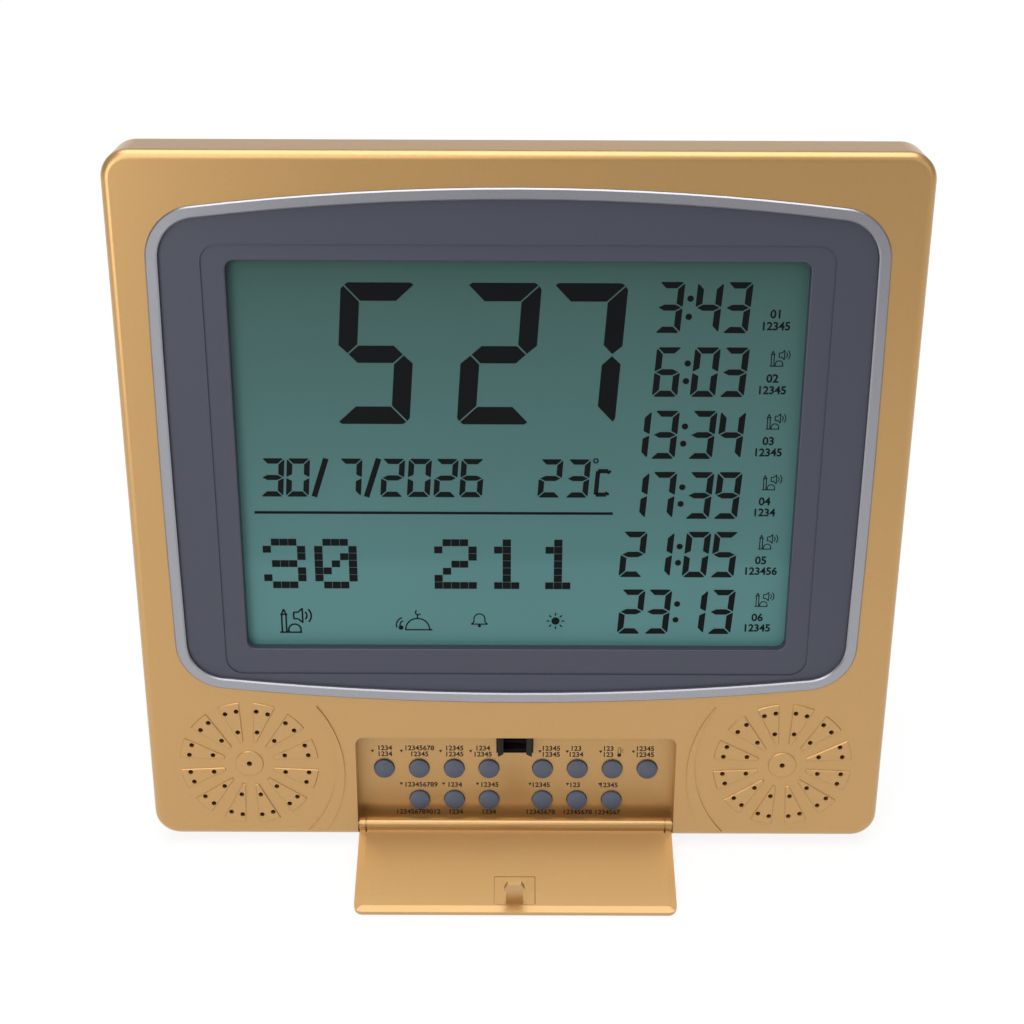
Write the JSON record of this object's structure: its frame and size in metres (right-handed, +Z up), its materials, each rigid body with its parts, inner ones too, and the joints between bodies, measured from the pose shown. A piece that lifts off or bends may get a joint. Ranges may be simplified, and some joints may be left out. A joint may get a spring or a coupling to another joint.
{
  "type": "prayer time alarm clock",
  "caption": "Desk clock with a wide liquid crystal display in a ringed bezel, a fold-down control door below it, grilles at both lower corners and a rear stand.",
  "frame": {"origin": "centre of the footprint on the table, at the bottom of the clock", "axes": "+X to the right seen from the front, +Y backwards through the clock, +Z up; the front faces -Y"},
  "size_m": [0.26, 0.121, 0.2439],
  "materials": {
    "gold_case": "champagne gold paint on moulded plastic",
    "plated_trim": "satin silver plating",
    "grey_bezel": "smooth blue grey moulding",
    "display_glass": "clear glass over green grey display",
    "reflector_film": "matt silver film",
    "inner_plastic": "plain white moulding",
    "black_plastic": "black moulding",
    "zebra_rubber": "layered conductive rubber",
    "board": "green glass fibre board",
    "board_parts": "mixed electronic parts",
    "button_plastic": "blue grey satin moulding",
    "steel": "plain steel",
    "speaker_paper": "black pressed paper",
    "cell_jacket": "plain wrapped dry cell",
    "wire_jacket": "thin insulated wire",
    "ribbon_jacket": "flat grey ribbon"
  },
  "bodies": {
    "case": {"battery_cells": "cell_jacket", "battery_contacts": "steel", "battery_leads": "wire_jacket", "battery_springs": "steel", "board_screws": "steel", "case_screws": "steel", "display_bezel": "grey_bezel", "door_hinge_pins": "steel", "front_case": "gold_case", "key_board": "board", "latch_housing": "black_plastic", "lcd_frame": "inner_plastic", "lcd_front_glass": "display_glass", "lcd_rear_glass": "display_glass", "lcd_reflector": "reflector_film", "main_board": "board", "main_board_parts": "board_parts", "rear_cover": "gold_case", "ribbon_cable": "ribbon_jacket", "speaker_cone_left": "speaker_paper", "speaker_cone_right": "speaker_paper", "speaker_frame_left": "steel", "speaker_frame_right": "steel", "speaker_leads": "wire_jacket", "speaker_magnet_left": "steel", "speaker_magnet_right": "steel", "speaker_screws": "steel", "stand_pin": "steel", "tact_switches": "black_plastic", "temperature_sensor": "board_parts", "trim_ring": "plated_trim", "zebra_strip": "zebra_rubber"},
    "door": {"control_door": "gold_case"},
    "stand": {"stand_leg": "gold_case"},
    "battery_lid": {"battery_cover": "gold_case"},
    "latch_slider": {"latch_slider": "black_plastic", "latch_pins": "steel", "latch_spring": "steel"},
    "latch_jaw_left": {"latch_jaw_left": "black_plastic"},
    "latch_jaw_right": {"latch_jaw_right": "black_plastic"},
    "button_01": {"button_01": "button_plastic"},
    "button_02": {"button_02": "button_plastic"},
    "button_03": {"button_03": "button_plastic"},
    "button_04": {"button_04": "button_plastic"},
    "button_05": {"button_05": "button_plastic"},
    "button_06": {"button_06": "button_plastic"},
    "button_07": {"button_07": "button_plastic"},
    "button_08": {"button_08": "button_plastic"},
    "button_09": {"button_09": "button_plastic"},
    "button_10": {"button_10": "button_plastic"},
    "button_11": {"button_11": "button_plastic"},
    "button_12": {"button_12": "button_plastic"},
    "button_13": {"button_13": "button_plastic"},
    "button_14": {"button_14": "button_plastic"}
  },
  "joints": [
    {"name": "door_hinge", "type": "hinge", "parent": "case", "child": "door", "pos_m": [0, -0.02403, 0.0073], "axis": [-1, 0, 0], "range_deg": [0, 111.5]},
    {"name": "stand_hinge", "type": "hinge", "parent": "case", "child": "stand", "pos_m": [0, 0.02711, 0.10196], "axis": [-1, 0, 0], "range_deg": [0, 27]},
    {"name": "battery_lid_hinge", "type": "hinge", "parent": "case", "child": "battery_lid", "pos_m": [0.072, 0.01667, 0.05797], "axis": [-1, 0, 0], "range_deg": [0, 50]},
    {"name": "latch_slide", "type": "slide", "parent": "case", "child": "latch_slider", "axis": [0, 0.9677, -0.2522], "range_m": [0, 0.0033], "stiffness_N_per_m": 300, "springref_m": -0.002},
    {"name": "latch_jaw_left_pivot", "type": "hinge", "parent": "latch_slider", "child": "latch_jaw_left", "pos_m": [-0.00475, -0.00447, 0.03475], "axis": [0, 0.2522, 0.9677], "range_deg": [0, 6]},
    {"name": "latch_jaw_right_pivot", "type": "hinge", "parent": "latch_slider", "child": "latch_jaw_right", "pos_m": [0.00405, -0.00447, 0.03475], "axis": [0, -0.2522, -0.9677], "range_deg": [0, 6]},
    {"name": "button_01_press", "type": "slide", "parent": "case", "child": "button_01", "axis": [0, 0.9677, -0.2522], "range_m": [0, 0.0008], "stiffness_N_per_m": 500, "springref_m": -0.0006},
    {"name": "button_02_press", "type": "slide", "parent": "case", "child": "button_02", "axis": [0, 0.9677, -0.2522], "range_m": [0, 0.0008], "stiffness_N_per_m": 500, "springref_m": -0.0006},
    {"name": "button_03_press", "type": "slide", "parent": "case", "child": "button_03", "axis": [0, 0.9677, -0.2522], "range_m": [0, 0.0008], "stiffness_N_per_m": 500, "springref_m": -0.0006},
    {"name": "button_04_press", "type": "slide", "parent": "case", "child": "button_04", "axis": [0, 0.9677, -0.2522], "range_m": [0, 0.0008], "stiffness_N_per_m": 500, "springref_m": -0.0006},
    {"name": "button_05_press", "type": "slide", "parent": "case", "child": "button_05", "axis": [0, 0.9677, -0.2522], "range_m": [0, 0.0008], "stiffness_N_per_m": 500, "springref_m": -0.0006},
    {"name": "button_06_press", "type": "slide", "parent": "case", "child": "button_06", "axis": [0, 0.9677, -0.2522], "range_m": [0, 0.0008], "stiffness_N_per_m": 500, "springref_m": -0.0006},
    {"name": "button_07_press", "type": "slide", "parent": "case", "child": "button_07", "axis": [0, 0.9677, -0.2522], "range_m": [0, 0.0008], "stiffness_N_per_m": 500, "springref_m": -0.0006},
    {"name": "button_08_press", "type": "slide", "parent": "case", "child": "button_08", "axis": [0, 0.9677, -0.2522], "range_m": [0, 0.0008], "stiffness_N_per_m": 500, "springref_m": -0.0006},
    {"name": "button_09_press", "type": "slide", "parent": "case", "child": "button_09", "axis": [0, 0.9677, -0.2522], "range_m": [0, 0.0008], "stiffness_N_per_m": 500, "springref_m": -0.0006},
    {"name": "button_10_press", "type": "slide", "parent": "case", "child": "button_10", "axis": [0, 0.9677, -0.2522], "range_m": [0, 0.0008], "stiffness_N_per_m": 500, "springref_m": -0.0006},
    {"name": "button_11_press", "type": "slide", "parent": "case", "child": "button_11", "axis": [0, 0.9677, -0.2522], "range_m": [0, 0.0008], "stiffness_N_per_m": 500, "springref_m": -0.0006},
    {"name": "button_12_press", "type": "slide", "parent": "case", "child": "button_12", "axis": [0, 0.9677, -0.2522], "range_m": [0, 0.0008], "stiffness_N_per_m": 500, "springref_m": -0.0006},
    {"name": "button_13_press", "type": "slide", "parent": "case", "child": "button_13", "axis": [0, 0.9677, -0.2522], "range_m": [0, 0.0008], "stiffness_N_per_m": 500, "springref_m": -0.0006},
    {"name": "button_14_press", "type": "slide", "parent": "case", "child": "button_14", "axis": [0, 0.9677, -0.2522], "range_m": [0, 0.0008], "stiffness_N_per_m": 500, "springref_m": -0.0006}
  ],
  "couplings": [
    {"joint": "latch_jaw_left_pivot", "follows": "latch_slide", "rad_per_m": 31.7},
    {"joint": "latch_jaw_right_pivot", "follows": "latch_slide", "rad_per_m": 31.7}
  ]
}
